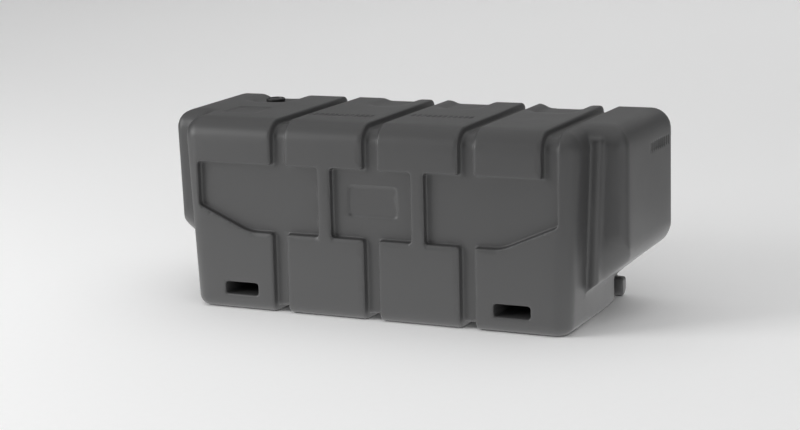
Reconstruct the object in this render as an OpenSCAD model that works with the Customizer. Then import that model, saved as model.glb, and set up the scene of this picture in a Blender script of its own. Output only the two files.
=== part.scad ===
// Water-filled moulded barrier block: a hollow polyethylene shell with a screw filler cap
// recessed in its top and a screw drain plug low in its rear wall.
// Origin: on the ground, under the middle of the block. +Y points to the rear, +Z up.

/* [Block] */
// Overall length over the two end wings
length = 1500; // [1250:5:1800]
// Depth from the front foot to the rear wall
depth = 530; // [440:5:640]
// Overall height
height = 580; // [485:5:700]
// Wall thickness of the moulding
wall = 6; // [4:0.5:8]
// How far each wing reaches past the body at the top
wing_reach = 108; // [85:1:130]
// Lean of the front wall, in degrees
front_lean = 2.2; // [0:0.1:4]
// Draft of the two ends, in degrees
end_draft = 3; // [0:0.5:4]

/* [Edges] */
// Radius of the top edges
top_r = 60; // [40:1:70]
// Radius of the upright corners
corner_r = 50; // [40:1:60]
// Radius of the foot
foot_r = 30; // [24:1:36]
// Radius of the rear edges
rear_r = 25; // [16:1:30]

/* [Grooves and panels] */
// Width of the strap grooves
groove_w = 48; // [36:1:60]
// Depth of the strap grooves and the front panels
groove_d = 20; // [12:1:24]
// Distance from the middle groove to each outer groove
groove_pitch = 306; // [270:1:330]
// Inner edge of the short groove, which is on one side only
short_groove_x = 536; // [520:1:545]
// Underside of the front panels
panel_z = 242; // [220:1:260]
// Height of the front panels
panel_h = 206; // [180:1:230]
// Height at which the side panels' slanted edge ends
panel_step = 74; // [50:1:100]
// Half width of the middle panel
mid_panel_half = 131; // [110:1:140]
// Inner edge of the side panels
side_panel_in = 173; // [160:1:190]
// Corner of the side panels' slanted edge
side_panel_kink = 411; // [390:1:430]
// Outer edge of the side panels
side_panel_out = 584; // [560:1:584]
// Corner radius of the panels
panel_r = 10; // [4:1:16]

/* [Carrying passages] */
// Distance of each passage's middle from the block's middle
passage_x = 443; // [430:1:450]
// Width of each passage
passage_w = 113; // [90:1:120]
// Height of each passage
passage_h = 36; // [28:1:44]
// Height of each passage's middle above the ground
passage_z = 66; // [58:1:74]
// Corner radius of each passage
passage_r = 8; // [4:1:12]

/* [Wings] */
// Distance from the block's front foot back to the wings' front wall
wing_setback = 146; // [120:1:180]
// Height of the wings' lower outer corner
wing_z = 205; // [185:1:230]
// Height at which the wings' slanted underside meets the body
wing_root_z = 102; // [95:1:115]
// Radius of the wings' lower corner
wing_low_r = 45; // [35:1:55]
// Radius of the wings' front edge
wing_front_r = 30; // [30:1:45]
// Width of the upright step in the corner between body and wing
step_w = 28; // [20:1:36]
// How far that step stands in front of the wing
step_d = 14; // [8:1:20]

/* [Rear pockets] */
// How far the pockets reach forward from the rear wall
pocket_len = 150; // [130:1:170]
// Depth of the pocket for the filler cap
cap_pocket_d = 13; // [13:0.5:17]
// Width of the pocket for the filler cap
cap_pocket_w = 150; // [120:1:156]

/* [Rear strap hooks] */
// How far the end tapers in, below the wing, on its way to the hook
end_taper = 31; // [20:1:36]
// How far the hook's tip stands inside the untapered end
hook_back = 13; // [8:1:16]
// Height of the hook's lower lip
hook_z = 58; // [50:1:64]
// Height of the hook's open throat
hook_gap = 32; // [24:1:36]
// How far the throat is cut into the end
hook_in = 42; // [30:1:50]
// Thickness of the hook along the depth
hook_t = 34; // [28:1:40]
// Width of the upright recess in front of the hook
recess_w = 41; // [30:1:50]
// Height of the upright recess in front of the hook
recess_h = 70; // [60:1:80]

/* [Filler] */
// Place of the filler along the length
filler_x = -545; // [-550:1:-530]
// Distance of the filler's middle from the rear wall
filler_back = 90; // [85:1:105]
// Outer diameter of the filler cap
cap_d = 60; // [57:1:64]
// Thickness of the filler cap above its gasket
cap_t = 10; // [8:0.5:11]
// Diameter of the filler's thread
filler_thread_d = 47.6; // [44:0.2:48]
// Pitch of the filler's thread
filler_pitch = 2.309; // [1.5:0.001:3]
// Length of the filler's threaded shank below the gasket
filler_shank = 20; // [16:0.5:24]

/* [Drain] */
// Place of the drain along the length
drain_x = 153; // [130:1:180]
// Height of the drain's middle above the ground
drain_z = 56; // [52:1:62]
// Diameter of the recess around the drain plug
drain_recess_d = 76; // [64:1:80]
// Depth of the recess around the drain plug
drain_recess_deep = 24; // [20:1:28]
// Outer diameter of the drain plug
plug_d = 36; // [34:1:40]
// Thickness of the drain plug's flange
plug_t = 7; // [5:0.5:9]
// Diameter of the drain's thread
drain_thread_d = 26.4; // [22:0.2:27]
// Pitch of the drain's thread
drain_pitch = 1.814; // [1.4:0.001:2.4]
// Length of the drain's threaded shank below the seal
drain_shank = 16; // [12:0.5:18]

/* [Seals and clearances] */
// Thickness of the cap's gasket
gasket_t = 2.5; // [1.5:0.5:3]
// Thickness of the plug's seal
seal_t = 2; // [1.5:0.5:3]
// Radial clearance of the threads
thread_clearance = 0.08; // [0.05:0.01:0.1]
// Radial room between a shank and its seal
seal_room = 0.5; // [0.3:0.1:0.8]
// Wall of the moulded-in inserts around the bore
insert_wall = 7; // [5:0.5:8]
// How far an insert's anchor ring stands out
anchor_out = 4; // [3:0.5:6]
// Thickness of an insert's anchor ring
anchor_t = 6; // [4:0.5:8]

/* [Hidden] */
$fn = 96;

// Arcs in the shell's outlines are drawn with this many steps.
arc_steps = 6;
// Plates that are hulled into one solid are this thick.
plate = 0.01;
// Cutters reach this far past the faces that they open.
past = 1;
// Longest reach of a cutter.
far = 2 * (length + depth + height);

half_len = length / 2;
half_depth = depth / 2;
body_top = half_len - wing_reach;
body_foot = body_top - height * tan(end_draft);
// The foot's front corner before it is rounded, so that the rounded foot ends at half_depth.
front_y = -half_depth - foot_r * ((1 + sin(front_lean)) / cos(front_lean) - 1);
wing_y = -half_depth + wing_setback;
end_at_root = body_foot + wing_root_z * tan(end_draft);
wing_root = end_at_root - 2 * wall;
hook_front = half_depth - hook_t;
panel_top = panel_z + panel_h;

filler_y = half_depth - filler_back;
pocket_floor = height - cap_pocket_d;
filler_bore_r = filler_thread_d / 2 + thread_clearance;
filler_insert_r = filler_bore_r + insert_wall;
filler_insert_h = filler_shank + anchor_t / 2;

drain_face = half_depth - drain_recess_deep;
drain_bore_r = drain_thread_d / 2 + thread_clearance;
drain_insert_r = drain_bore_r + insert_wall;
drain_insert_h = drain_shank + anchor_t / 2;
shank_wall = 4;

function unit(v) = v / norm(v);
function inward(a, b) = let (d = unit(b - a)) [-d[1], d[0]];
function before(p, i) = p[(i + len(p) - 1) % len(p)];
function after(p, i) = p[(i + 1) % len(p)];
// A convex outline, drawn anticlockwise, with the side after each corner i moved in by e[i].
function inset_each(p, e) = [
    for (i = [0 : len(p) - 1])
        let (
            m = inward(before(p, i), p[i]),
            n = inward(p[i], after(p, i)),
            a = before(e, i),
            b = e[i],
            c = m * n
        )
        p[i] + ((a - b * c) * m + (b - a * c) * n) / (1 - c * c)
];
// The same with every side moved in by e.
function inset(p, e) = inset_each(p, [for (q = p) e]);
// The arc of radius r that rounds corner b between its neighbours a and c.
function arc(a, b, c, r) =
    let (
        u = unit(a - b),
        v = unit(c - b),
        half = acos(u * v) / 2,
        centre = b + unit(u + v) * r / sin(half),
        start = b + u * r / tan(half) - centre,
        first = atan2(start[1], start[0]),
        sweep = 180 - 2 * half
    )
    [for (k = [0 : arc_steps]) let (q = first + sweep * k / arc_steps) centre + r * [cos(q), sin(q)]];
// A convex outline, drawn anticlockwise, with corner i rounded to r[i].
function rounded(p, r) = [
    for (i = [0 : len(p) - 1]) each arc(before(p, i), p[i], after(p, i), r[i])
];
// How far a wall steps in at distance d from an end that is rounded to r.
function sag(d, r) = d >= r ? 0 : r - sqrt(max(0, r * r - (r - d) * (r - d)));
// Levels from low to high that follow the rounding r_low at one end and r_high at the other.
function levels(low, high, r_low, r_high) = [
    for (k = [0 : arc_steps]) low + r_low * (1 - cos(90 * k / arc_steps)),
    for (k = [arc_steps : -1 : 0]) high - r_high * (1 - cos(90 * k / arc_steps))
];

// Solids whose outline is drawn in (Y, Z) and runs along X, or in (X, Z) and runs along Y.
module along_x(w) {
    rotate([90, 0, 90]) linear_extrude(w, center = true) children();
}
module along_y(from, to) {
    translate([0, to, 0]) rotate([90, 0, 0]) linear_extrude(to - from) children();
}
// A copy on each side of the middle plane.
module both_sides() {
    children();
    mirror([1, 0, 0]) children();
}

// The body without grooves: its walls lean, its top and foot are rounded. i moves every wall in.
module body_form(i) {
    low = i;
    high = height - i;
    r_low = foot_r - i;
    r_high = top_r - i;
    r_rear = rear_r - i;
    hull() for (z = levels(low, high, r_low, r_high)) {
        e = i + max(sag(z - low, r_low), sag(high - z, r_high));
        e_rear = i + max(sag(z - low, r_rear), sag(high - z, r_rear));
        w = body_foot + z * tan(end_draft);
        plan = inset_each([[-w, front_y + z * tan(front_lean)], [w, front_y + z * tan(front_lean)],
                           [w, half_depth], [-w, half_depth]], [e, e, e_rear, e]);
        front = max(corner_r - e, rear_r / 2);
        back = max(rear_r - e_rear, rear_r / 8);
        translate([0, 0, min(z, high - plate)]) linear_extrude(plate)
            polygon(rounded(plan, [front, front, back, back]));
    }
}
// The block of both wings: one outline across the length, rounded at its front and rear edges.
module wing_form(i) {
    low = wing_y + i;
    high = half_depth - i;
    r_low = wing_front_r - i;
    r_high = rear_r - i;
    outline = [[-wing_root, wing_root_z], [wing_root, wing_root_z], [half_len, wing_z],
               [half_len, height], [-half_len, height], [-half_len, wing_z]];
    hull() for (y = levels(low, high, r_low, r_high)) {
        e = max(sag(y - low, r_low), sag(high - y, r_high));
        top = top_r - i - e / 2;
        side = wing_low_r - i - e / 2;
        root = rear_r / 2;
        along_y(min(y, high - plate), min(y, high - plate) + plate)
            polygon(rounded(inset(outline, i + e), [root, root, side, top, top, side]));
    }
}
// The upright step in the corner between the body's end and the wing's front wall.
module corner_step() {
    both_sides() along_y(wing_y - step_d, wing_y + top_r) intersection() {
        polygon(rounded([[body_foot - wall, 0], [body_foot + step_w, 0],
                         [body_top + step_w, height - top_r / 2], [body_top - wall, height - top_r / 2]],
                        [2, 2, step_w / 2, 2]));
        polygon([[wing_root, wing_root_z], [half_len, wing_z], [half_len, height], [wing_root, height]]);
    }
}
// What lies deeper than d below the front, top, rear and foot.
module deeper_than(d) {
    along_x(far) polygon(rounded(
        inset([[front_y, 0], [half_depth, 0], [half_depth, height], [front_y + height * tan(front_lean), height]], d),
        [foot_r / 2, rear_r / 2, rear_r / 2, top_r - groove_d]));
}
// Three grooves all round the block and one short groove over the top.
module grooves(grow) {
    difference() {
        for (x = [-groove_pitch, 0, groove_pitch])
            translate([x, 0, height / 2]) cube([groove_w + 2 * grow, far, far], center = true);
        deeper_than(groove_d + grow);
    }
    difference() {
        translate([short_groove_x - grow, -far / 2, panel_top - panel_r])
            cube([groove_w + 2 * grow, far, far]);
        deeper_than(groove_d + grow);
    }
}
// The three sunk panels in the front wall.
module panels(grow) {
    difference() {
        along_y(-half_depth - past, -half_depth + corner_r + height * tan(front_lean)) {
            polygon(rounded(inset([[-mid_panel_half, panel_z], [mid_panel_half, panel_z],
                [mid_panel_half, panel_top], [-mid_panel_half, panel_top]], -grow),
                [panel_r, panel_r, panel_r, panel_r]));
            both_sides() polygon(rounded(inset([[side_panel_in, panel_z], [side_panel_kink, panel_z],
                [side_panel_out, panel_z + panel_step], [side_panel_out, panel_top],
                [side_panel_in, panel_top]], -grow),
                [panel_r, panel_r, panel_r, panel_r, panel_r]));
        }
        deeper_than(groove_d + grow);
    }
}
// The passages that run through the foot from front to rear.
module passages(grow) {
    w = passage_w / 2 + grow;
    h = passage_h / 2 + grow;
    r = passage_r + grow;
    both_sides() translate([passage_x, 0, passage_z]) along_y(-far / 2, far / 2)
        polygon(rounded([[-w, -h], [w, -h], [w, h], [-w, h]], [r, r, r, r]));
}
// One shallow pocket in the rear top edge, w wide at its floor and d deep.
module pocket(x, w, d, grow) {
    top = height + past;
    floor_w = w / 2 + grow;
    slope = d + past;
    along_y(half_depth - pocket_len - grow, half_depth + past) polygon([
        [x - floor_w, height - d - grow], [x + floor_w, height - d - grow],
        [x + floor_w + slope, top], [x - floor_w - slope, top]]);
}
module pockets(grow) {
    pocket(filler_x, cap_pocket_w - 2 * cap_pocket_d, cap_pocket_d, grow);
    pocket(-0.42 * groove_pitch, 0.3 * groove_pitch, 8, grow);
    pocket(0.38 * groove_pitch, 0.36 * groove_pitch, 10, grow);
    pocket(1.38 * groove_pitch, 0.38 * groove_pitch, 14, grow);
}
// Below each wing the end tapers in from the wing's front to the recess, then steps out at the hook.
module end_tapers(grow) {
    inner = end_at_root - end_taper;
    tip = end_at_root - hook_back;
    recess_y = hook_front - recess_w;
    slope = (wing_z - wing_root_z) / (half_len - wing_root);
    ceiling_z = wing_root_z - past;
    both_sides() intersection() {
        translate([0, 0, -past - grow]) linear_extrude(wing_z) polygon(inset(
            [[end_at_root, wing_y], [far, wing_y], [far, far], [tip, far], [tip, hook_front],
             [inner, hook_front], [inner, recess_y]], -grow));
        along_y(-far, far) polygon(inset(
            [[0, -far], [far, -far], [far, ceiling_z + (far - wing_root) * slope],
             [0, ceiling_z - wing_root * slope]], -grow));
    }
}
// The hooks at the rear foot corners: a throat through the hook and a recess in front of it.
module strap_hooks(grow) {
    x = body_foot - hook_in;
    top = hook_z + hook_gap;
    both_sides() {
        along_y(hook_front - past - grow, half_depth + past + grow) polygon(inset(
            [[x, hook_z], [far, hook_z], [far, top], [x + hook_gap, top], [x, hook_z + wall]], -grow));
        translate([x - wall - grow, hook_front - recess_w - grow, -past - grow])
            cube([far, recess_w + 2 * grow, recess_h + past + 2 * grow]);
    }
}
module drain_recess(grow) {
    translate([drain_x, drain_face - grow, drain_z]) rotate([-90, 0, 0])
        cylinder(h = drain_recess_deep + grow + past, d = drain_recess_d + 2 * grow);
}
module sunk_features(grow) {
    grooves(grow);
    panels(grow);
    passages(grow);
    pockets(grow);
    end_tapers(grow);
    strap_hooks(grow);
    drain_recess(grow);
}
// The thick places in the wall that hold the inserts.
module bosses() {
    translate([filler_x, filler_y, pocket_floor - filler_insert_h - wall])
        cylinder(h = filler_insert_h + wall, r = filler_insert_r + anchor_out + wall);
    translate([drain_x, drain_face - drain_insert_h - wall, drain_z]) rotate([-90, 0, 0])
        cylinder(h = drain_insert_h + wall, r = drain_insert_r + anchor_out + wall);
}
// A threaded insert's outside, mouth at z = 0, standing down from it.
module insert_form(r, h) {
    translate([0, 0, -h]) cylinder(h = h, r = r);
    translate([0, 0, -h / 2 - anchor_t / 2]) cylinder(h = anchor_t, r = r + anchor_out);
}
module insert(r, h, bore_r) {
    difference() {
        insert_form(r, h);
        translate([0, 0, -h - past]) cylinder(h = h + 2 * past, r = bore_r);
    }
}
module flat_ring(h, outer_r, inner_r) {
    difference() {
        cylinder(h = h, r = outer_r);
        translate([0, 0, -past]) cylinder(h = h + 2 * past, r = inner_r);
    }
}
module at_filler() {
    translate([filler_x, filler_y, pocket_floor]) children();
}
module at_drain() {
    translate([drain_x, drain_face, drain_z]) rotate([-90, 0, 0]) children();
}

module moulded_shell() {
    color("#4b4b4c") difference() {
        union() {
            body_form(0);
            wing_form(0);
            corner_step();
        }
        sunk_features(0);
        difference() {
            union() {
                body_form(wall);
                wing_form(wall);
            }
            sunk_features(wall);
            bosses();
        }
        at_filler() {
            insert_form(filler_insert_r, filler_insert_h);
            translate([0, 0, -filler_insert_h - wall - past]) cylinder(h = far, r = filler_bore_r);
        }
        at_drain() {
            insert_form(drain_insert_r, drain_insert_h);
            translate([0, 0, -drain_insert_h - wall - past])
                cylinder(h = drain_insert_h + wall + 2 * past, r = drain_bore_r);
        }
    }
}
module filler_insert() {
    color("#2a2a2a") at_filler() insert(filler_insert_r, filler_insert_h, filler_bore_r);
}
module cap_gasket() {
    color("#161616") at_filler()
        flat_ring(gasket_t, cap_d / 2 - 1, filler_thread_d / 2 + seal_room);
}
module filler_cap() {
    rim = 4;
    grips = 12;
    bar = 9;
    color("#1b1b1b") at_filler() translate([0, 0, gasket_t]) {
        difference() {
            cylinder(h = cap_t, d = cap_d);
            translate([0, 0, cap_t / 2]) cylinder(h = cap_t, r = filler_thread_d / 2);
            for (k = [0 : grips - 1]) rotate(360 * k / grips)
                translate([cap_d / 2 + rim / 3, 0, -past]) cylinder(h = cap_t + 2 * past, d = rim);
        }
        translate([-filler_thread_d / 2, -bar / 2, 0]) cube([filler_thread_d, bar, cap_t - past]);
        translate([0, 0, -gasket_t - filler_shank]) difference() {
            cylinder(h = filler_shank + gasket_t, d = filler_thread_d);
            translate([0, 0, -past]) cylinder(h = filler_shank + gasket_t, r = filler_thread_d / 2 - shank_wall);
        }
    }
}
module drain_insert() {
    color("#b08d4a") at_drain() insert(drain_insert_r, drain_insert_h, drain_bore_r);
}
module drain_seal() {
    color("#161616") at_drain() flat_ring(seal_t, plug_d / 2 - 1, drain_thread_d / 2 + seal_room);
}
module drain_plug() {
    hex = 19;
    hex_h = 8;
    color("#1b1b1b") at_drain() translate([0, 0, seal_t]) {
        cylinder(h = plug_t, d = plug_d);
        translate([0, 0, plug_t]) cylinder(h = hex_h, d = hex / cos(30), $fn = 6);
        translate([0, 0, -seal_t - drain_shank]) difference() {
            cylinder(h = drain_shank + seal_t, d = drain_thread_d);
            translate([0, 0, -past]) cylinder(h = drain_shank + seal_t, r = drain_thread_d / 2 - shank_wall);
        }
    }
}

moulded_shell();
filler_insert();
cap_gasket();
filler_cap();
drain_insert();
drain_seal();
drain_plug();
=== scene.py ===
"""Looks of the water-filled moulded block: its satin shell, filler cap and drain plug, in metres."""
import math

import bmesh
import bpy
from mathutils import Matrix, Vector


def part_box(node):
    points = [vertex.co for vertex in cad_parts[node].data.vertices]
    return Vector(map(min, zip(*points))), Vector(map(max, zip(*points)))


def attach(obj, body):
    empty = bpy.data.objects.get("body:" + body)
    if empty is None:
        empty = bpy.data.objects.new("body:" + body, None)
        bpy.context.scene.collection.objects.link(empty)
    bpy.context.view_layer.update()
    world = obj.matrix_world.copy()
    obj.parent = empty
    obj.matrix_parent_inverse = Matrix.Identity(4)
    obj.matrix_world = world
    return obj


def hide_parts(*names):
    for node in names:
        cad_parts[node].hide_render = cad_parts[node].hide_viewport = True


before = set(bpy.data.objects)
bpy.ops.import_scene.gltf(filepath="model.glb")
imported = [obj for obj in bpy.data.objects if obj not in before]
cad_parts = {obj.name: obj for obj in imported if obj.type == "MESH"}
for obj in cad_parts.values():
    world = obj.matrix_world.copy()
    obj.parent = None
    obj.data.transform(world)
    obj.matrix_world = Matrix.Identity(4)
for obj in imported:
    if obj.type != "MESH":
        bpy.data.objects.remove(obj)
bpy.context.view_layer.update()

MM = 0.001
SHELL_LOW, SHELL_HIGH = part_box("moulded_shell")
CAP_LOW, CAP_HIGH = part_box("filler_cap")
GASKET_LOW, GASKET_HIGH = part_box("cap_gasket")
PLUG_LOW, PLUG_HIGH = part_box("drain_plug")
SEAL_LOW, SEAL_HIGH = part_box("drain_seal")
FILLER_LOW, FILLER_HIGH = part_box("filler_insert")
DRAIN_LOW, DRAIN_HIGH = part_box("drain_insert")

# ---------------------------------------------------------------- shell sizes
HALF_LEN = SHELL_HIGH.x
HALF_DEPTH = SHELL_HIGH.y
HEIGHT = SHELL_HIGH.z
WING_REACH = 108 * MM  # how far a wing stands out past the body's top
FRONT_LEAN = math.radians(2.2)
END_DRAFT = math.radians(3)
WING_DRAFT = math.radians(0.5)  # lean of the wing's end face over its height
WING_TAPER = math.radians(1.3)  # lean of the wing's end face towards the front
TOP_R = 60 * MM
CORNER_R = 50 * MM
FOOT_R = 30 * MM
REAR_R = 25 * MM
GROOVE_W = 48 * MM
GROOVE_D = 20 * MM
GROOVE_NARROWING = 2 * MM  # how far each side of a groove has come in at its floor
GROOVE_FLARE = 0.15  # how far each side leans out for its height
GROOVE_FLOOR_R = 5 * MM
GROOVE_MOUTH_R = 4.5 * MM
GROOVE_PITCH = 306 * MM  # from the middle groove to each outer one
SHORT_GROOVE_X = 536 * MM  # inner side of the groove over the top only
SHORT_GROOVE_DROP = 4 * MM  # how far its foot is below the panels' top
PANEL_LOW = 242 * MM
PANEL_TOP = 448 * MM
PANEL_STEP = 74 * MM  # rise of a side panel's slanting foot
PANEL_R = 9 * MM
PANEL_JOIN_R = 8 * MM
MID_PANEL_HALF = 131 * MM
SIDE_PANEL_IN = 173 * MM
SIDE_PANEL_KINK = 411 * MM  # where that slant starts
SIDE_PANEL_OUT = 584 * MM
PASSAGE = dict(x=443 * MM, z=66 * MM, half_w=56.5 * MM, half_h=18 * MM, r=8 * MM, mouth_r=5 * MM)
FOOT_HOLLOW = dict(x=560 * MM, y=-75 * MM, half=73 * MM, top=6 * MM, r=5 * MM, mouth_r=4 * MM)
WING_SETBACK = 146 * MM  # from the block's front to the wing's
WING_Z = 205 * MM  # foot of the wing's end face
WING_ROOT_Z = 102 * MM  # where the wing's under side meets the body
WING_LOW_R = 30 * MM
WING_FRONT_R = 25 * MM
WING_UNDER_R = 80 * MM
WING_JOIN_R = 12 * MM
END_TAPER = 31 * MM  # how far the end has come in at the recess
TAPER_REAR_R = 8 * MM
TAPER_TOP_R = 6 * MM
TAPER_MOUTH_R = 3.5 * MM
STEP_W = 34 * MM  # upright step in the corner of body and wing
STEP_D = 14 * MM  # how far it stands in front of the wing
STEP_JOIN_R = 8 * MM
HOOK_Z = 58 * MM  # floor of the hook's throat
HOOK_GAP = 32 * MM  # height of the throat
HOOK_IN = 42 * MM  # how far the throat reaches in from the end
HOOK_T = 34 * MM  # thickness of the hook from its front to the rear
HOOK_LIP = 6 * MM  # height of the throat at its inner end
HOOK_BACK = 20 * MM  # how far the hook's tip is set back from the end
HOOK_BACK_LEN = 20 * MM  # how far in front of the hook that starts
THROAT_R = 3 * MM
THROAT_MOUTH_R = 9 * MM
RECESS_W = 41 * MM
RECESS_H = 70 * MM
RECESS_DEEPER = 6 * MM  # how far the recess reaches in past the throat
RECESS_R = 6 * MM
RECESS_TOP_R = 10 * MM
RECESS_MOUTH_R = 5 * MM
POCKET_LEN = 150 * MM  # how far the pockets reach forward from the rear
POCKET_CORNER_R = 30 * MM
POCKET_FLOOR_R = 6 * MM
POCKET_MOUTH_R = 12 * MM
DRAIN_RECESS_R = 38 * MM
DRAIN_RECESS_D = 24 * MM
DRAIN_RECESS_EASE = 5 * MM
FILLER_HOLE_R = 32 * MM
DRAIN_HOLE_R = 21.4 * MM

# Plain fields and slot rows: centre and half size in their own plane, and how deep they are sunk.
SLOT_PITCH = 17 * MM
SLOT_ROW_R = 4 * MM
TOP_SLOTS = (
    ((-168 * MM, -88 * MM), (104 * MM, 16 * MM)),
    ((140 * MM, -44 * MM), (104 * MM, 14 * MM)),
)
TOP_SLOT_D = 6 * MM
TOP_SQUARE = dict(centre=(-510 * MM, -60 * MM), half=(58 * MM, 58 * MM), r=16 * MM, deep=4 * MM)
FRONT_PLATE = dict(centre=(0.0, 352 * MM), half=(78 * MM, 46 * MM), r=10 * MM, deep=3 * MM)
WING_SLOTS = ((150 * MM, 492 * MM), (80 * MM, 13 * MM))
WING_SLOT_D = 8 * MM
FIELD_MOUTH_R = 1 * MM

# The volume that the shell's surface is grown in.
VOXEL = 3.5 * MM
ADAPTIVITY = 0.02
SURFACE_LEVEL = 0.5
LEVEL_PER_METRE = 50.0
VOLUME_MARGIN = 15 * MM


# ---------------------------------------------------------------- sums written as nodes
class Sum:
    """A number that varies over space, held as a socket of a Geometry Nodes tree."""

    def __init__(self, tree, socket):
        self.tree = tree
        self.socket = socket

    def made(self, operation, *values):
        """A new sum from a Math node fed with these values."""
        node = self.tree.nodes.new("ShaderNodeMath")
        node.operation = operation
        for place, value in enumerate(values):
            if isinstance(value, Sum):
                self.tree.links.new(value.socket, node.inputs[place])
            else:
                node.inputs[place].default_value = value
        return Sum(self.tree, node.outputs[0])

    def __add__(self, other):
        return self.made("ADD", self, other)

    def __sub__(self, other):
        return self.made("SUBTRACT", self, other)

    def __rsub__(self, other):
        return self.made("SUBTRACT", other, self)

    def __mul__(self, other):
        return self.made("MULTIPLY", self, other)

    def __neg__(self):
        return self.made("MULTIPLY", self, -1.0)

    def __abs__(self):
        return self.made("ABSOLUTE", self)


def both(a, b):
    """The distance to what lies inside a and inside b, with a sharp edge."""
    return a.made("MAXIMUM", a, b)


def either(a, b):
    """The distance to what lies inside a or inside b, with a sharp corner."""
    return a.made("MINIMUM", a, b)


def both_round(a, b, r):
    """The same as both, with the outward edge rounded to r."""
    over_a = both(a + r, 0.0)
    over_b = both(b + r, 0.0)
    corner = a.made("SQRT", over_a * over_a + over_b * over_b)
    return either(both(a, b), -r) + corner


def either_round(a, b, r):
    """The same as either, with the inward corner filled to r."""
    return -both_round(-a, -b, r)


def cut_round(solid, cutter, r):
    """Takes cutter out of solid and rounds the mouth that it leaves to r."""
    return both_round(solid, -cutter, r)


def from_line(u, v, start, end):
    """The distance, in the plane of u and v, to the right of the line from start to end."""
    du, dv = end[0] - start[0], end[1] - start[1]
    size = math.hypot(du, dv)
    return (u - start[0]) * (dv / size) - (v - start[1]) * (du / size)


def field_at(u, v, centre, half, r):
    """A rectangle in the plane of u and v with its corners rounded to r."""
    return both_round(abs(u - centre[0]) - half[0], abs(v - centre[1]) - half[1], r)


def disc_at(u, v, centre, r):
    """A disc of radius r in the plane of u and v."""
    du, dv = u - centre[0], v - centre[1]
    return u.made("SQRT", du * du + dv * dv) - r


def node_tree(name, inputs):
    """An empty Geometry Nodes tree with a geometry output and these named inputs."""
    tree = bpy.data.node_groups.new(name, "GeometryNodeTree")
    kinds = {float: "NodeSocketFloat", int: "NodeSocketInt"}
    tree.interface.new_socket("Geometry", in_out="INPUT", socket_type="NodeSocketGeometry")
    for label, value in inputs.items():
        if isinstance(value, bpy.types.Material):
            socket = tree.interface.new_socket(label, in_out="INPUT", socket_type="NodeSocketMaterial")
        else:
            socket = tree.interface.new_socket(label, in_out="INPUT", socket_type=kinds[type(value)])
        socket.default_value = value
    tree.interface.new_socket("Geometry", in_out="OUTPUT", socket_type="NodeSocketGeometry")
    start = tree.nodes.new("NodeGroupInput")
    end = tree.nodes.new("NodeGroupOutput")
    return tree, start, end


def finish_tree(tree, start, end, mesh):
    """Ends a tree: smooth shading, real instances and the material."""
    shade = tree.nodes.new("GeometryNodeSetShadeSmooth")
    shade.inputs["Shade Smooth"].default_value = True
    real = tree.nodes.new("GeometryNodeRealizeInstances")
    paint = tree.nodes.new("GeometryNodeSetMaterial")
    tree.links.new(mesh, shade.inputs["Geometry"])
    tree.links.new(shade.outputs[0], real.inputs[0])
    tree.links.new(real.outputs[0], paint.inputs["Geometry"])
    tree.links.new(start.outputs["Material"], paint.inputs["Material"])
    tree.links.new(paint.outputs[0], end.inputs[0])


def grown(name, tree, inputs, base=None):
    """Runs a tree with its inputs set by identifier, and returns the result as a plain mesh object."""
    holder = bpy.data.objects.new(name + "_holder", base or bpy.data.meshes.new(name + "_holder"))
    bpy.context.scene.collection.objects.link(holder)
    modifier = holder.modifiers.new("grow", "NODES")
    modifier.node_group = tree
    for item in tree.interface.items_tree:
        if item.in_out == "INPUT" and item.name in inputs:
            modifier[item.identifier] = inputs[item.name]
    graph = bpy.context.evaluated_depsgraph_get()
    mesh = bpy.data.meshes.new_from_object(holder.evaluated_get(graph))
    mesh.name = name
    bpy.data.objects.remove(holder)
    piece = bpy.data.objects.new(name, mesh)
    bpy.context.scene.collection.objects.link(piece)
    return piece


# ---------------------------------------------------------------- the moulded form
def lengthwise_form(y, z):
    """The outline that runs the whole length: leaning front, rounded top, rear and foot."""
    front_foot = -HALF_DEPTH - FOOT_R * ((1 + math.sin(FRONT_LEAN)) / math.cos(FRONT_LEAN) - 1)
    front_top = front_foot + HEIGHT * math.tan(FRONT_LEAN)
    front = from_line(y, z, (front_top, HEIGHT), (front_foot, 0.0))
    form = both_round(front, z - HEIGHT, TOP_R)
    return front, both_round(both_round(form, y - HALF_DEPTH, REAR_R), -z, FOOT_R)


def body_and_wings(x, y, z, front):
    """Body, wings, corner steps and tapered ends, before the grooves and pockets are cut."""
    ax = abs(x)
    body_top = HALF_LEN - WING_REACH
    body_foot = body_top - HEIGHT * math.tan(END_DRAFT)
    wing_root = body_foot + WING_ROOT_Z * math.tan(END_DRAFT)
    wing_front = -HALF_DEPTH + WING_SETBACK - y
    wing_foot = HALF_LEN - HEIGHT * math.tan(WING_DRAFT)
    under = from_line(ax, z, (wing_root, WING_ROOT_Z), (HALF_LEN, WING_Z))
    end = from_line(ax, z, (body_foot, 0.0), (body_top, HEIGHT))
    body = both_round(end, front, CORNER_R)
    wing_end = from_line(ax, z, (wing_foot, 0.0), (HALF_LEN, HEIGHT))
    wing_end = wing_end + (HALF_DEPTH - y) * math.tan(WING_TAPER)
    wing = both(both_round(wing_end, wing_front, WING_FRONT_R), both_round(wing_end, under, WING_LOW_R))
    wing = both(both(wing, both_round(wing_front, under, WING_UNDER_R)), WING_ROOT_Z - z)
    form = either_round(body, wing, WING_JOIN_R)
    form = both_round(form, z - HEIGHT, TOP_R)
    form = both_round(form, y - HALF_DEPTH, REAR_R)
    form = both_round(form, -z, FOOT_R)
    step = both_round(end - STEP_W, wing_front - STEP_D, STEP_D)
    step = both_round(both(step, under), z - (HEIGHT - TOP_R / 2), STEP_D)
    step = both(both(step, WING_ROOT_Z - z), -wing_front - TOP_R)
    form = either_round(form, step, STEP_JOIN_R)
    return cut_round(form, end_taper(ax, y, under, wing_root), TAPER_MOUTH_R)


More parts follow.
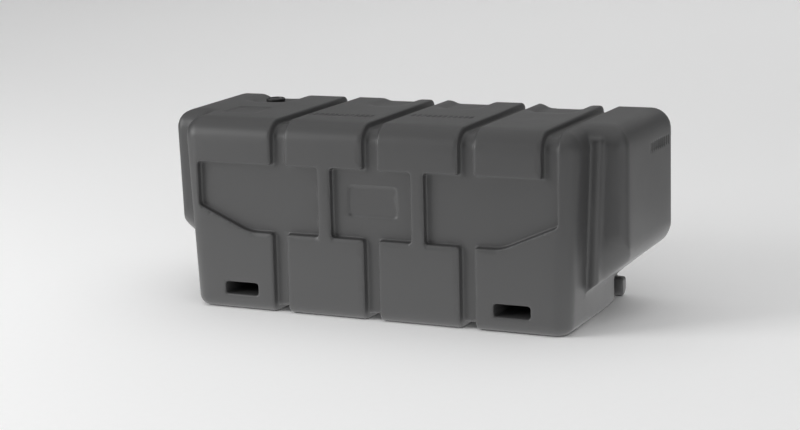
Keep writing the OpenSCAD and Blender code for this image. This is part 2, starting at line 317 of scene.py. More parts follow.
def end_taper(ax, y, under, at_root):
    """What the tapered end leaves out below each wing, up to where the hook steps out again."""
    wing_y = -HALF_DEPTH + WING_SETBACK
    hook_y = HALF_DEPTH - HOOK_T
    taper = from_line(ax, y, (at_root, wing_y), (at_root - END_TAPER, hook_y - RECESS_W))
    before_hook = both_round(-taper, y - hook_y, TAPER_REAR_R)
    at_hook = both(at_root - HOOK_BACK - ax, hook_y - HOOK_BACK_LEN - y)
    return both_round(either(before_hook, at_hook), -under, TAPER_TOP_R)


def grooves_and_panels(x, y, z, side_form):
    """The three grooves round the block, the short one over its top, and the front panels."""
    ax = abs(x)
    above_floor = side_form + GROOVE_D
    half = above_floor * GROOVE_FLARE + (GROOVE_W / 2 - GROOVE_NARROWING)
    rings = either(abs(ax - GROOVE_PITCH), ax) - half
    short = abs(x - (SHORT_GROOVE_X + GROOVE_W / 2)) - half
    short = both(short, PANEL_TOP - SHORT_GROOVE_DROP - z)
    mid_z, half_h = (PANEL_LOW + PANEL_TOP) / 2, (PANEL_TOP - PANEL_LOW) / 2
    centre_panel = field_at(x, z, (0.0, mid_z), (MID_PANEL_HALF, half_h), PANEL_R)
    mid_x, half_w = (SIDE_PANEL_IN + SIDE_PANEL_OUT) / 2, (SIDE_PANEL_OUT - SIDE_PANEL_IN) / 2
    side_panel = field_at(ax, z, (mid_x, mid_z), (half_w, half_h), PANEL_R)
    slant = from_line(ax, z, (SIDE_PANEL_KINK, PANEL_LOW), (SIDE_PANEL_OUT, PANEL_LOW + PANEL_STEP))
    side_panel = both_round(side_panel, slant, PANEL_R)
    panels = both(either(centre_panel, side_panel), y)
    outline = either(either_round(rings, panels, PANEL_JOIN_R), short)
    return both_round(outline, -above_floor, GROOVE_FLOOR_R)


def pocket(x, y, z, centre, floor_w, deep):
    """One shallow pocket in the rear top edge, with walls that slope up out of it."""
    floor = HEIGHT - deep
    slope = math.sqrt(0.5)
    side = (abs(x - centre) - floor_w / 2 - (z - floor)) * slope
    front = ((HALF_DEPTH - POCKET_LEN) - y - (z - floor)) * slope
    return both_round(both_round(side, front, POCKET_CORNER_R), floor - z, POCKET_FLOOR_R)


def strap_hooks(x, y, z):
    """The throat through each rear foot corner, and the upright recess in front of it."""
    ax = abs(x)
    foot = HALF_LEN - WING_REACH - HEIGHT * math.tan(END_DRAFT)
    inner = foot - HOOK_IN
    hook_front = HALF_DEPTH - HOOK_T
    upper = from_line(ax, z, (inner + HOOK_GAP, HOOK_Z + HOOK_GAP), (inner, HOOK_Z + HOOK_LIP))
    throat = both_round(both_round(HOOK_Z - z, upper, THROAT_R), inner - ax, THROAT_R)
    throat = both(both(throat, hook_front - y), z - (HOOK_Z + HOOK_GAP))
    recess = abs(y - (hook_front - RECESS_W / 2)) - RECESS_W / 2
    recess = both_round(recess, inner - RECESS_DEEPER - ax, RECESS_R)
    recess = both_round(recess, z - RECESS_H, RECESS_TOP_R)
    return throat, recess


def slot_row(along, across, centre, half):
    """A row of short parallel slots that fills a rounded rectangle."""
    slots = along.made("PINGPONG", along, SLOT_PITCH / 2) - SLOT_PITCH / 4
    return both(field_at(along, across, centre, half, SLOT_ROW_R), slots)


def blank_fields(x, y, z, side_form):
    """Plain fields and slot rows on the top, the middle panel and one wing."""
    rows = either(*(slot_row(x, y, *row) for row in TOP_SLOTS))
    rows = both(rows, HEIGHT - TOP_SLOT_D - z)
    square = field_at(x, y, TOP_SQUARE["centre"], TOP_SQUARE["half"], TOP_SQUARE["r"])
    square = both(square, HEIGHT - TOP_SQUARE["deep"] - z)
    plate = field_at(x, z, FRONT_PLATE["centre"], FRONT_PLATE["half"], FRONT_PLATE["r"])
    plate = both(both(plate, -(side_form + GROOVE_D + FRONT_PLATE["deep"])), y)
    wing = both(slot_row(y, z, *WING_SLOTS), HALF_LEN - WING_SLOT_D - x)
    return either(either(rows, square), either(plate, wing))


def moulded_distance(x, y, z):
    """How far each point is outside the moulded block, less than nothing inside it."""
    front, side_form = lengthwise_form(y, z)
    form = body_and_wings(x, y, z, front)
    form = cut_round(form, grooves_and_panels(x, y, z, side_form), GROOVE_MOUTH_R)
    tunnel = field_at(abs(x), z, (PASSAGE["x"], PASSAGE["z"]),
                      (PASSAGE["half_w"], PASSAGE["half_h"]), PASSAGE["r"])
    form = cut_round(form, tunnel, PASSAGE["mouth_r"])
    filler = (FILLER_LOW + FILLER_HIGH) / 2
    # Each pocket's middle, the width of its floor and its depth. The first one holds the filler.
    pockets = (
        (filler.x, 124 * MM, HEIGHT - FILLER_HIGH.z),
        (-0.42 * GROOVE_PITCH, 0.3 * GROOVE_PITCH, 8 * MM),
        (0.38 * GROOVE_PITCH, 0.36 * GROOVE_PITCH, 10 * MM),
        (1.38 * GROOVE_PITCH, 0.38 * GROOVE_PITCH, 14 * MM),
    )
    for centre, floor_w, deep in pockets:
        form = cut_round(form, pocket(x, y, z, centre, floor_w, deep), POCKET_MOUTH_R)
    throat, recess = strap_hooks(x, y, z)
    form = cut_round(form, recess, RECESS_MOUTH_R)
    form = cut_round(form, throat, THROAT_MOUTH_R)
    drain = (DRAIN_LOW + DRAIN_HIGH) / 2
    bowl = disc_at(x, z, (drain.x, drain.z), DRAIN_RECESS_R)
    bowl = both_round(bowl, HALF_DEPTH - DRAIN_RECESS_D - y, DRAIN_RECESS_EASE)
    form = cut_round(form, bowl, DRAIN_RECESS_EASE)
    hollow = abs(y - FOOT_HOLLOW["y"]) - FOOT_HOLLOW["half"]
    hollow = both_round(hollow, z - FOOT_HOLLOW["top"], FOOT_HOLLOW["r"])
    form = cut_round(form, both(hollow, FOOT_HOLLOW["x"] - abs(x)), FOOT_HOLLOW["mouth_r"])
    form = cut_round(form, blank_fields(x, y, z, side_form), FIELD_MOUTH_R)
    filler_hole = both(disc_at(x, y, (filler.x, filler.y), FILLER_HOLE_R), FILLER_LOW.z - z)
    drain_hole = both(disc_at(x, z, (drain.x, drain.z), DRAIN_HOLE_R), DRAIN_LOW.y - y)
    return both(form, -either(filler_hole, drain_hole))


def moulded_shell(material):
    """The block's outside, grown as the zero level of moulded_distance."""
    inputs = {"Voxel": VOXEL, "Adaptivity": ADAPTIVITY, "Material": material}
    tree, start, end = node_tree("moulded block", inputs)
    place = tree.nodes.new("ShaderNodeSeparateXYZ")
    tree.links.new(tree.nodes.new("GeometryNodeInputPosition").outputs[0], place.inputs[0])
    x, y, z = (Sum(tree, place.outputs[k]) for k in range(3))
    voxel = Sum(tree, start.outputs["Voxel"])
    inside = SURFACE_LEVEL - moulded_distance(x, y, z) * LEVEL_PER_METRE
    cube = tree.nodes.new("GeometryNodeVolumeCube")
    tree.links.new(inside.socket, cube.inputs["Density"])
    low = SHELL_LOW - Vector((VOLUME_MARGIN,) * 3)
    high = SHELL_HIGH + Vector((VOLUME_MARGIN,) * 3)
    cube.inputs["Min"].default_value = low
    cube.inputs["Max"].default_value = high
    for axis, size in zip("XYZ", high - low):
        count = voxel.made("DIVIDE", size, voxel)
        tree.links.new(count.socket, cube.inputs["Resolution " + axis])
    skin = tree.nodes.new("GeometryNodeVolumeToMesh")
    tree.links.new(cube.outputs["Volume"], skin.inputs["Volume"])
    skin.inputs["Threshold"].default_value = SURFACE_LEVEL
    tree.links.new(start.outputs["Adaptivity"], skin.inputs["Adaptivity"])
    finish_tree(tree, start, end, skin.outputs["Mesh"])
    return grown("block_shell", tree, inputs)


# ---------------------------------------------------------------- turned pieces
AROUND = 96
SEAL_AROUND = 72
THREAD_STEPS = 8
EASE_STEPS = 3
EASE_SHARE = 0.45
SHARP_ANGLE = math.radians(35)
FILLER = dict(pitch=2.309 * MM, depth=1.35 * MM, r=23.8 * MM, shank=20 * MM)
DRAIN = dict(pitch=1.814 * MM, depth=1.05 * MM, r=13.2 * MM, shank=16 * MM)
SHANK_WALL = 4 * MM
SHANK_CHAMFER = 1.4 * MM
SHANK_UNDERCUT = 0.6 * MM
SHANK_INTO_HEAD = 0.6 * MM
THREAD_ROOM = 0.12 * MM
# Inner and outer radius of each seal; outer radius, lip radius and height of each insert.
GASKET_R = (24.3 * MM, 29.0 * MM)
SEAL_R = (13.7 * MM, 17.0 * MM)
NECK_SIZES = (30.88 * MM, 33 * MM, 23 * MM)
BUSH_SIZES = (20.28 * MM, 22.6 * MM, 19 * MM)
INSERT_LEAD = 1.2 * MM
INSERT_LIP = 0.6 * MM
LIP_UNDER = -0.05 * MM
GASKET_T = GASKET_HIGH.z - GASKET_LOW.z
SEAL_T = SEAL_HIGH.y - SEAL_LOW.y
FILLER_SEAT = Vector(((FILLER_LOW.x + FILLER_HIGH.x) / 2, (FILLER_LOW.y + FILLER_HIGH.y) / 2, FILLER_HIGH.z))
DRAIN_SEAT = Vector(((DRAIN_LOW.x + DRAIN_HIGH.x) / 2, DRAIN_HIGH.y, (DRAIN_LOW.z + DRAIN_HIGH.z) / 2))
CAP_RIBS = 40
CAP_RIB_R = 0.9 * MM
CAP_BAR_W = 9 * MM
CAP_BAR_R = 1.6 * MM
CAP_BAR_DOWN = 2 * MM
PLUG_FLANGE_T = 7 * MM
PLUG_HEX_ACROSS = 19 * MM
PLUG_HEX_EDGE = 0.9 * MM
PLUG_HEX_DOWN = 0.05 * MM


def placed(point, origin, along_depth):
    """A point of a turned piece in the frame: its axis stands up, or points to the rear."""
    x, y, z = point
    return origin + (Vector((x, z, -y)) if along_depth else Vector((x, y, z)))


def thread_wave(z, angle, pitch):
    """0 on a right-hand thread's crest and 1 at its root; its flanks take two thirds of the pitch."""
    phase = (z / pitch - angle / math.tau) % 1.0
    return min(1.0, max(0.0, 1.5 * abs(2.0 * phase - 1.0) - 0.25))


def turned(name, outline, around, origin, along_depth, material, closed=False, thread=None):
    """A turned piece. outline holds (radius, height, how much of the thread's depth is cut there).

    An open outline starts and ends on the axis; a closed one goes round a ring's section.
    thread is (pitch, depth), with a depth less than nothing for a thread that is cut outwards.
    """
    mesh = bmesh.new()
    rows = []
    for r, z, share in outline:
        if r == 0.0:
            rows.append([mesh.verts.new(placed((0.0, 0.0, z), origin, along_depth))])
            continue
        row = []
        for k in range(around):
            angle = math.tau * k / around
            cut = share * thread[1] * thread_wave(z, angle, thread[0]) if share else 0.0
            point = ((r - cut) * math.cos(angle), (r - cut) * math.sin(angle), z)
            row.append(mesh.verts.new(placed(point, origin, along_depth)))
        rows.append(row)
    pairs = list(zip(rows, rows[1:])) + ([(rows[-1], rows[0])] if closed else [])
    for low, high in pairs:
        for k in range(around):
            n = (k + 1) % around
            corners = [low[k % len(low)], low[n % len(low)], high[n % len(high)], high[k % len(high)]]
            mesh.faces.new(list(dict.fromkeys(corners)))
    return plain_mesh(name, mesh, material)


def plain_mesh(name, mesh, material):
    """Turns a bmesh into a piece with its faces outwards."""
    bmesh.ops.recalc_face_normals(mesh, faces=mesh.faces)
    data = bpy.data.meshes.new(name)
    mesh.to_mesh(data)
    mesh.free()
    data.materials.append(material)
    data.shade_smooth()
    data.set_sharp_from_angle(angle=SHARP_ANGLE)
    piece = bpy.data.objects.new(name, data)
    bpy.context.scene.collection.objects.link(piece)
    return piece


def eased(outline, r):
    """The same outline with every inner corner of it rounded to r, or less on a short side."""
    out = [outline[0]]
    for a, b, c in zip(outline, outline[1:], outline[2:]):
        corner = Vector(b[:2])
        before, after = Vector(a[:2]) - corner, Vector(c[:2]) - corner
        reach = min(r, before.length * EASE_SHARE, after.length * EASE_SHARE)
        start = corner + before.normalized() * reach
        end = corner + after.normalized() * reach
        for k in range(EASE_STEPS + 1):
            t = k / EASE_STEPS
            p = start.lerp(corner, t).lerp(corner.lerp(end, t), t)
            out.append((p.x, p.y, 0.0))
    return out + [outline[-1]]


def threaded_stretch(r, low, high, pitch):
    """Points along a threaded wall from low to high; the thread runs out over its last half turn."""
    count = round(abs(high - low) / pitch * THREAD_STEPS)
    out = []
    for k in range(count + 1):
        z = low + (high - low) * k / count
        share = min(1.0, abs(z - low) / (pitch / 2), abs(z - high) / (pitch / 2))
        out.append((r, z, share))
    return out


def shank(name, thread, above, origin, along_depth, material):
    """The hollow threaded shank under a flange, from its open end up to the flange."""
    r, low, pitch = thread["r"], -thread["shank"], thread["pitch"]
    bore, neck = r - SHANK_WALL, r - SHANK_UNDERCUT
    outline = [(r - SHANK_CHAMFER, low, 0.0)]
    outline += threaded_stretch(r, low + 1.2 * MM, -0.6 * MM, pitch)
    outline += [(neck, 0.2 * MM, 0.0), (neck, above, 0.0), (bore, above, 0.0), (bore, low, 0.0)]
    return turned(name, outline, AROUND, origin, along_depth, material,
                  closed=True, thread=(pitch, thread["depth"]))


def threaded_insert(name, thread, outer, lip, height, origin, along_depth, material):
    """A moulded-in insert with an inside thread and a thin lip over the shell's edge."""
    bore, pitch = thread["r"] + THREAD_ROOM, thread["pitch"]
    outline = [(bore + INSERT_LEAD, 0.0, 0.0), (bore, -INSERT_LEAD, 0.0)]
    outline += threaded_stretch(bore, -1.3 * MM, -height + 0.5 * MM, pitch)
    outline += [(bore, -height, 0.0), (outer, -height, 0.0), (outer, -0.8 * MM, 0.0)]
    outline += [(outer, LIP_UNDER, 0.0), (lip, LIP_UNDER, 0.0), (lip, 0.35 * MM, 0.0)]
    outline += [(lip - 0.4 * MM, INSERT_LIP, 0.0), (outer - 0.9 * MM, INSERT_LIP, 0.0)]
    outline += [(outer - 1.3 * MM, 0.0, 0.0)]
    return turned(name, outline, AROUND, origin, along_depth, material,
                  closed=True, thread=(pitch, thread["depth"]))


def seal_ring(name, inner, outer, thick, origin, along_depth, material):
    """A flat rubber ring with eased edges."""
    ease = thick * 0.3
    outline = [
        (inner, ease, 0.0), (inner + ease, 0.0, 0.0), (outer - ease, 0.0, 0.0), (outer, ease, 0.0),
        (outer, thick - ease, 0.0), (outer - ease, thick, 0.0),
        (inner + ease, thick, 0.0), (inner, thick - ease, 0.0),
    ]
    return turned(name, outline, SEAL_AROUND, origin, along_depth, material, closed=True)


def grip_ring(name, radius, low, high, origin, material):
    """Small upright ribs round a cap's rim, set out by a Geometry Nodes tree."""
    rib = bmesh.new()
    bmesh.ops.create_uvsphere(rib, u_segments=10, v_segments=8, radius=CAP_RIB_R)
    half = (high - low) / 2 - CAP_RIB_R
    for v in rib.verts:
        v.co.z += half if v.co.z > 1e-7 else -half if v.co.z < -1e-7 else 0.0
    pattern = bpy.data.meshes.new(name + "_rib")
    rib.to_mesh(pattern)
    rib.free()
    inputs = {"Count": CAP_RIBS, "Radius": radius, "Material": material}
    tree, start, end = node_tree("ring of ribs", inputs)
    ring = tree.nodes.new("GeometryNodeMeshCircle")
    tree.links.new(start.outputs["Count"], ring.inputs["Vertices"])
    tree.links.new(start.outputs["Radius"], ring.inputs["Radius"])
    copies = tree.nodes.new("GeometryNodeInstanceOnPoints")
    tree.links.new(ring.outputs["Mesh"], copies.inputs["Points"])
    tree.links.new(start.outputs["Geometry"], copies.inputs["Instance"])
    lift = tree.nodes.new("GeometryNodeTransform")
    tree.links.new(copies.outputs["Instances"], lift.inputs["Geometry"])
    lift.inputs["Translation"].default_value = origin + Vector((0.0, 0.0, (low + high) / 2))
    finish_tree(tree, start, end, lift.outputs["Geometry"])
    return grown(name, tree, inputs, base=pattern)


def rounded_bar(name, size, centre, r, material):
    """A bar with rounded edges."""
    bar = bmesh.new()
    bmesh.ops.create_cube(bar, size=1.0)
    bmesh.ops.scale(bar, vec=size, verts=bar.verts)
    bmesh.ops.bevel(bar, geom=list(bar.edges), offset=r, segments=4, profile=0.5, affect="EDGES")
    bmesh.ops.translate(bar, vec=centre, verts=bar.verts)
    return plain_mesh(name, bar, material)


def filler_cap(material):
    """The screw cap: a recessed head with a hand bar, a ribbed rim and a threaded shank."""
    origin = FILLER_SEAT + Vector((0.0, 0.0, GASKET_T))
    top = CAP_HIGH.z - origin.z
    rim = (CAP_HIGH.x - CAP_LOW.x) / 2 - 0.5 * MM
    floor = top / 2
    hollow = FILLER["r"]
    outline = eased([
        (0.0, 0.0, 0.0), (rim - 1.0 * MM, 0.0, 0.0), (rim, 1.2 * MM, 0.0), (rim, top - 2.0 * MM, 0.0),
        (rim - 2.2 * MM, top, 0.0), (hollow + 1.2 * MM, top, 0.0), (hollow, floor, 0.0), (0.0, floor, 0.0),
    ], 1.1 * MM)
    head = turned("cap_head", outline, AROUND, origin, False, material)
    ribs = grip_ring("cap_grips", rim, 1.4 * MM, top - 2.2 * MM, origin, material)
    bar_low, bar_high = floor - CAP_BAR_DOWN, top - 1.0 * MM
    bar_size = Vector((2 * hollow - 0.6 * MM, CAP_BAR_W, bar_high - bar_low))
    bar_centre = origin + Vector((0.0, 0.0, (bar_high + bar_low) / 2))
    bar = rounded_bar("cap_bar", bar_size, bar_centre, CAP_BAR_R, material)
    threads = shank("cap_thread", FILLER, GASKET_T + SHANK_INTO_HEAD, FILLER_SEAT, False, material)
    return [head, ribs, bar, threads]


def drain_plug(material):
    """The screw plug: a flange, a six-sided head and a threaded shank."""
    origin = DRAIN_SEAT + Vector((0.0, SEAL_T, 0.0))
    flange_t = PLUG_FLANGE_T
    r = (PLUG_HIGH.x - PLUG_LOW.x) / 2
    outline = eased([
        (0.0, 0.0, 0.0), (r - 0.8 * MM, 0.0, 0.0), (r, 0.8 * MM, 0.0), (r, flange_t - 1.2 * MM, 0.0),
        (r - 1.4 * MM, flange_t, 0.0), (0.0, flange_t, 0.0),
    ], 1.0 * MM)
    flange = turned("plug_flange", outline, AROUND, origin, True, material)
    head = bmesh.new()
    tall = PLUG_HIGH.y - origin.y - flange_t
    corner_r = PLUG_HEX_ACROSS / math.cos(math.radians(30)) / 2
    bmesh.ops.create_cone(head, cap_ends=True, segments=6, radius1=corner_r, radius2=corner_r, depth=tall)
    edges = list(head.edges)
    bmesh.ops.bevel(head, geom=edges, offset=PLUG_HEX_EDGE, segments=3, profile=0.5, affect="EDGES")
    turn = Matrix.Rotation(math.radians(-90), 4, "X")
    place = Matrix.Translation(origin + Vector((0.0, flange_t + tall / 2 - PLUG_HEX_DOWN, 0.0)))
    bmesh.ops.transform(head, matrix=place @ turn, verts=head.verts)
    hexagon = plain_mesh("plug_hex", head, material)
    threads = shank("plug_thread", DRAIN, SEAL_T + SHANK_INTO_HEAD, DRAIN_SEAT, True, material)
    return [flange, hexagon, threads]


# ---------------------------------------------------------------- finishes
def shader_group(name, inputs, outputs):
    """An empty shader node group with these named inputs, (kind, value), and outputs, kind."""
    group = bpy.data.node_groups.new(name, "ShaderNodeTree")
    kinds = {"number": "NodeSocketFloat", "colour": "NodeSocketColor"}
    for label, (kind, value) in inputs.items():
        socket = group.interface.new_socket(label, in_out="INPUT", socket_type=kinds[kind])
        socket.default_value = value
    for label, kind in outputs.items():
        group.interface.new_socket(label, in_out="OUTPUT", socket_type=kinds[kind])
    return group, group.nodes.new("NodeGroupInput"), group.nodes.new("NodeGroupOutput")


def noise(tree, place, scale, detail=3.0, rough=0.55):
    """A noise texture on this place socket. Its scale is a number or a socket."""
    node = tree.nodes.new("ShaderNodeTexNoise")
    node.inputs["Detail"].default_value = detail
    node.inputs["Roughness"].default_value = rough
    tree.links.new(place, node.inputs["Vector"])
    if isinstance(scale, float):
        node.inputs["Scale"].default_value = scale
    else:
        tree.links.new(scale, node.inputs["Scale"])
    return node.outputs[0]


def ranged(tree, value, low, high, out_low, out_high):
    """value taken from low..high to out_low..out_high, and kept there."""
    node = tree.nodes.new("ShaderNodeMapRange")
    tree.links.new(value, node.inputs["Value"])
    for label, number in (("From Min", low), ("From Max", high), ("To Min", out_low), ("To Max", out_high)):
        node.inputs[label].default_value = number
    return node.outputs["Result"]


def worked(tree, operation, a, b):
    """One Math node of two values, each a number or a socket."""
    node = tree.nodes.new("ShaderNodeMath")
    node.operation = operation
    for place, value in enumerate((a, b)):
        if isinstance(value, (int, float)):
            node.inputs[place].default_value = value
        else:
            tree.links.new(value, node.inputs[place])
    return node.outputs[0]


def mixed(tree, share, a, b):
    """Colour a turning to colour b by the share that this socket gives."""
    node = tree.nodes.new("ShaderNodeMix")
    node.data_type = "RGBA"
    tree.links.new(share, node.inputs["Factor"])
    # The colour sockets of a Mix node: A and B are its inputs 6 and 7, the result its output 2.
    node.inputs[6].default_value = a
    node.inputs[7].default_value = b
    return node.outputs[2]


WAVE_SCALE = 7.0
PATCH_SCALE = 3.1
STREAK_STRETCH = (9.0, 60.0, 130.0)
PATCH_TONE = 0.03
GRAIN_TONE = 0.05
SCUFF_TONE = 0.25
SCUFF_ROUGH = 0.12
GRAIN_ROUGH = 0.04


def moulded_skin_group():
    """The skin of a moulding: fine grain, slow waviness, patches of tone and faint scuffs."""
    group, start, end = shader_group(
        "moulded skin",
        {
            "Colour": ("colour", (0.1, 0.1, 0.1, 1.0)),
            "Grain Scale": ("number", 900.0),
            "Grain Depth": ("number", 0.1),
            "Waviness": ("number", 0.3),
            "Scuffs": ("number", 0.3),
            "Roughness": ("number", 0.5),
        },
        {"Colour": "colour", "Roughness": "number", "Height": "number"},
    )

    def times(a, b):
        return worked(group, "MULTIPLY", a, b)

    def plus(a, b):
        return worked(group, "ADD", a, b)

    place = group.nodes.new("ShaderNodeTexCoord").outputs["Object"]
    grain = noise(group, place, start.outputs["Grain Scale"], 2.0)
    wave = noise(group, place, WAVE_SCALE, 2.0)
    patch = noise(group, place, PATCH_SCALE, 4.0)
    # Scuffs are thin, mostly lengthwise streaks that show in some patches only.
    stretch = group.nodes.new("ShaderNodeMapping")
    stretch.inputs["Scale"].default_value = STREAK_STRETCH
    group.links.new(place, stretch.inputs["Vector"])
    streak = noise(group, stretch.outputs["Vector"], 1.0, 5.0, 0.7)
    scuff = times(ranged(group, streak, 0.66, 0.74, 0.0, 1.0), ranged(group, patch, 0.48, 0.62, 0.0, 1.0))
    scuff = times(scuff, start.outputs["Scuffs"])
    tone = plus(times(ranged(group, patch, 0.3, 0.7, -0.5, 0.5), PATCH_TONE),
                times(ranged(group, grain, 0.3, 0.7, -0.5, 0.5), GRAIN_TONE))
    bright = group.nodes.new("ShaderNodeHueSaturation")
    group.links.new(start.outputs["Colour"], bright.inputs["Color"])
    group.links.new(plus(plus(tone, times(scuff, SCUFF_TONE)), 1.0), bright.inputs["Value"])
    group.links.new(bright.outputs["Color"], end.inputs["Colour"])
    uneven = plus(ranged(group, patch, 0.3, 0.7, -0.04, 0.04), times(scuff, SCUFF_ROUGH))
    rough = plus(plus(start.outputs["Roughness"], uneven), times(grain, GRAIN_ROUGH))
    group.links.new(rough, end.inputs["Roughness"])
    height = plus(times(grain, start.outputs["Grain Depth"]), times(wave, start.outputs["Waviness"]))
    group.links.new(height, end.inputs["Height"])
    return group


def moulded_finish(name, skin, colour, bump, values):
    """A moulded plastic or rubber finish from the skin group, with its own values."""
    material = bpy.data.materials.new(name)
    material.use_nodes = True
    tree = material.node_tree
    surface = tree.nodes["Principled BSDF"]
    group = tree.nodes.new("ShaderNodeGroup")
    group.node_tree = skin
    group.inputs["Colour"].default_value = (*colour, 1.0)
    for label, value in values.items():
        group.inputs[label].default_value = value
    relief = tree.nodes.new("ShaderNodeBump")
    relief.inputs["Strength"].default_value = 1.0
    relief.inputs["Distance"].default_value = bump
    surface.inputs["IOR"].default_value = 1.5
    tree.links.new(group.outputs["Height"], relief.inputs["Height"])
    tree.links.new(group.outputs["Colour"], surface.inputs["Base Color"])
    tree.links.new(group.outputs["Roughness"], surface.inputs["Roughness"])
    tree.links.new(relief.outputs["Normal"], surface.inputs["Normal"])
    return material


BRASS_BRIGHT = (0.62, 0.42, 0.16, 1.0)
BRASS_DULL = (0.36, 0.25, 0.11, 1.0)
BRASS_MARK_SCALE = 900.0
BRASS_PATCH_SCALE = 160.0
BRASS_MARK_D = 0.03 * MM


def turned_brass(name):
    """Machined brass with fine turning marks round its axis, dulled in patches."""
    material = bpy.data.materials.new(name)
    material.use_nodes = True
    tree = material.node_tree
    surface = tree.nodes["Principled BSDF"]
    place = tree.nodes.new("ShaderNodeTexCoord").outputs["Object"]
    marks = tree.nodes.new("ShaderNodeTexWave")
    marks.wave_type = "RINGS"
    marks.rings_direction = "Y"
    marks.inputs["Scale"].default_value = BRASS_MARK_SCALE
    marks.inputs["Distortion"].default_value = 0.6
    centre = tree.nodes.new("ShaderNodeMapping")
    centre.inputs["Location"].default_value = -DRAIN_SEAT
    tree.links.new(place, centre.inputs["Vector"])
    tree.links.new(centre.outputs["Vector"], marks.inputs["Vector"])
    dull = noise(tree, place, BRASS_PATCH_SCALE, 4.0)
    tree.links.new(mixed(tree, dull, BRASS_BRIGHT, BRASS_DULL), surface.inputs["Base Color"])
    tree.links.new(ranged(tree, dull, 0.3, 0.7, 0.25, 0.45), surface.inputs["Roughness"])
    relief = tree.nodes.new("ShaderNodeBump")
    relief.inputs["Distance"].default_value = BRASS_MARK_D
    tree.links.new(marks.outputs[1], relief.inputs["Height"])
    tree.links.new(relief.outputs["Normal"], surface.inputs["Normal"])
    surface.inputs["Metallic"].default_value = 1.0
    return material


# ---------------------------------------------------------------- the studio
LENS_UNIT = 584 * MM
LENS_AT = Vector((4.32919, -8.25108, 2.53092))
LENS_RIGHT = Vector((0.8963, 0.4418, -0.0386))
LENS_DOWN = Vector((0.0584, -0.2041, -0.9772))
LENS_AHEAD = Vector((-0.4396, 0.8736, -0.2087))
FLOOR_NEAR = -14.0
FLOOR_FAR = 14.0
FLOOR_BEND = 6.0
FLOOR_TOP = 16.0
FLOOR_HALF_W = 30.0
BEND_STEPS = 16
PAPER_DARK = (0.94, 0.94, 0.94, 1.0)
PAPER_LIGHT = (0.96, 0.96, 0.96, 1.0)
# The surround's grey at two heights, where -1 is straight down, 0 level and 1 straight up.
SURROUND = ((0.62, 0.02), (0.78, 1.0))
MID_BLOCK = (0.0, 0.0, 0.3)
# Each light's name, place, aim, size in metres and power in watts.
LIGHTS = (
    ("key_left", (-5.0, -3.6, 2.5), MID_BLOCK, 3.0, 252.0),
    ("fill_front", (3.0, -5.5, 2.6), MID_BLOCK, 3.0, 42.0),
    ("fill_right", (5.5, -3.0, 1.2), MID_BLOCK, 3.0, 48.0),
    ("edge_right", (5.0, 1.0, 3.0), MID_BLOCK, 3.0, 10.0),
    ("far_floor", (-1.0, 9.0, 6.0), (-1.0, 9.0, 0.0), 9.0, 95.0),
)
# The light that a pale floor throws back up at the block's foot.
FLOOR_GLOW = ("floor_glow", (0.0, 0.0, 0.0015), (0.0, 0.0, 1.0), 2.4, 17.0)


def camera():
    """A long lens, a little above the block and off to its right."""
    data = bpy.data.cameras.new("camera")
    data.lens = 86.36
    data.sensor_width = 36.0
    data.clip_end = 200.0
    eye = bpy.data.objects.new("camera", data)
    turn = Matrix((LENS_RIGHT, -LENS_DOWN, -LENS_AHEAD)).transposed()
    where = LENS_AT * LENS_UNIT + Vector((0.0, -HALF_DEPTH, 0.0))
    eye.matrix_world = Matrix.Translation(where) @ turn.to_4x4()
    bpy.context.scene.collection.objects.link(eye)
    bpy.context.scene.camera = eye


def soft_light(name, at, aim, size, watts):
    """A square area light at a place, facing another."""
    data = bpy.data.lights.new(name, "AREA")
    data.size = size
    data.energy = watts
    light = bpy.data.objects.new(name, data)
    light.location = at
    light.rotation_euler = (Vector(aim) - Vector(at)).to_track_quat("-Z", "Y").to_euler()
    bpy.context.scene.collection.objects.link(light)
    return light


def floor_section():
    """The floor's (y, z) points from its near edge to the top of its upturned far end."""
    quarter = [math.pi / 2 * k / BEND_STEPS for k in range(BEND_STEPS + 1)]
    bend = [(FLOOR_FAR + FLOOR_BEND * math.sin(a), FLOOR_BEND * (1 - math.cos(a))) for a in quarter]
    return [(FLOOR_NEAR, 0.0), *bend, (FLOOR_FAR + FLOOR_BEND, FLOOR_TOP)]


def paper():
    """The floor's matt, almost white paper."""
    material = bpy.data.materials.new("studio_paper")
    material.use_nodes = True
    tree = material.node_tree
    surface = tree.nodes["Principled BSDF"]
    fibre = noise(tree, tree.nodes.new("ShaderNodeTexCoord").outputs["Object"], 40.0)
    tree.links.new(mixed(tree, fibre, PAPER_DARK, PAPER_LIGHT), surface.inputs["Base Color"])
    surface.inputs["Roughness"].default_value = 0.9
    surface.inputs["Specular IOR Level"].default_value = 0.1
    return material


def surround():
    """A surround that is pale overhead and dark from there down."""
    world = bpy.data.worlds.new("studio")
    world.use_nodes = True
    tree = world.node_tree
    upward = tree.nodes.new("ShaderNodeSeparateXYZ")
    tree.links.new(tree.nodes.new("ShaderNodeTexCoord").outputs["Generated"], upward.inputs[0])
    ramp = tree.nodes.new("ShaderNodeValToRGB")
    for stop, (at, grey) in zip(ramp.color_ramp.elements, SURROUND):
        stop.position = at
        stop.color = (grey, grey, grey, 1.0)
    tree.links.new(upward.outputs["Z"], ramp.inputs[0])
    tree.links.new(ramp.outputs["Color"], tree.nodes["Background"].inputs["Color"])
    tree.nodes["Background"].inputs["Strength"].default_value = 1.0
    bpy.context.scene.world = world


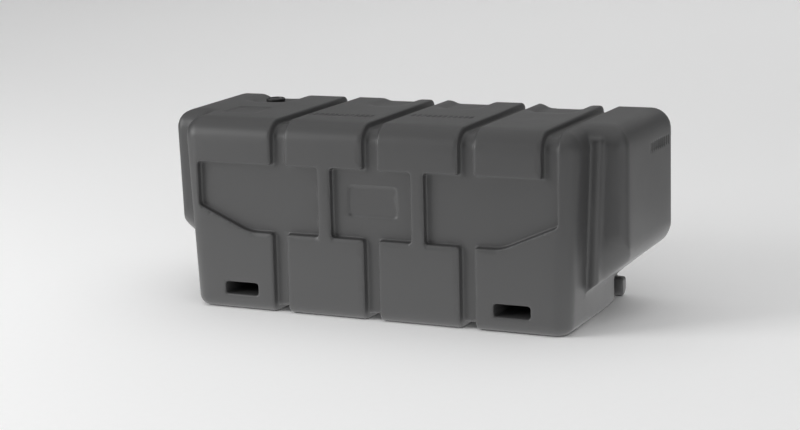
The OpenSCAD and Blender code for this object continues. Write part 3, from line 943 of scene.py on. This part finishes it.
def studio():
    """A wide pale floor that curves up far behind, the surround and the soft lights."""
    floor = bmesh.new()
    rows = [[floor.verts.new((x, y, z)) for x in (-FLOOR_HALF_W, FLOOR_HALF_W)] for y, z in floor_section()]
    for low, high in zip(rows, rows[1:]):
        floor.faces.new((low[0], low[1], high[1], high[0]))
    backdrop = plain_mesh("studio_floor", floor, paper())
    surround()
    for light in LIGHTS:
        soft_light(*light)
    soft_light(*FLOOR_GLOW).visible_camera = False
    bpy.context.scene.view_settings.view_transform = "Standard"


# ---------------------------------------------------------------- assembly
def put(pieces, body, node):
    """These pieces ride on a body and stand in for a CAD node, which they hide."""
    for piece in pieces:
        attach(piece, body)
        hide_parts(node)


skin = moulded_skin_group()
shell_plastic = moulded_finish(
    "shell_plastic", skin, (0.045, 0.045, 0.0455), 0.0006,
    {"Grain Scale": 420.0, "Grain Depth": 0.22, "Waviness": 0.9, "Scuffs": 0.5, "Roughness": 0.46})
cap_plastic = moulded_finish(
    "cap_plastic", skin, (0.012, 0.012, 0.012), 0.0001,
    {"Grain Scale": 1800.0, "Grain Depth": 0.4, "Waviness": 0.2, "Scuffs": 0.6, "Roughness": 0.38})
insert_plastic = moulded_finish(
    "insert_plastic", skin, (0.022, 0.022, 0.022), 0.0001,
    {"Grain Scale": 1500.0, "Grain Depth": 0.3, "Waviness": 0.2, "Scuffs": 0.2, "Roughness": 0.45})
seal_rubber = moulded_finish(
    "seal_rubber", skin, (0.008, 0.008, 0.008), 0.0001,
    {"Grain Scale": 2600.0, "Grain Depth": 0.6, "Waviness": 0.1, "Scuffs": 0.1, "Roughness": 0.7})
insert_brass = turned_brass("insert_brass")

camera()
studio()
put([moulded_shell(shell_plastic)], "block", "moulded_shell")
put(filler_cap(cap_plastic), "cap", "filler_cap")
put(drain_plug(cap_plastic), "plug", "drain_plug")
put([seal_ring("gasket", *GASKET_R, GASKET_T, FILLER_SEAT, False, seal_rubber)],
    "cap_carrier", "cap_gasket")
put([seal_ring("plug_seal", *SEAL_R, SEAL_T, DRAIN_SEAT, True, seal_rubber)],
    "plug_carrier", "drain_seal")
put([threaded_insert("neck_insert", FILLER, *NECK_SIZES, FILLER_SEAT, False, insert_plastic)],
    "block", "filler_insert")
put([threaded_insert("drain_bush", DRAIN, *BUSH_SIZES, DRAIN_SEAT, True, insert_brass)],
    "block", "drain_insert")
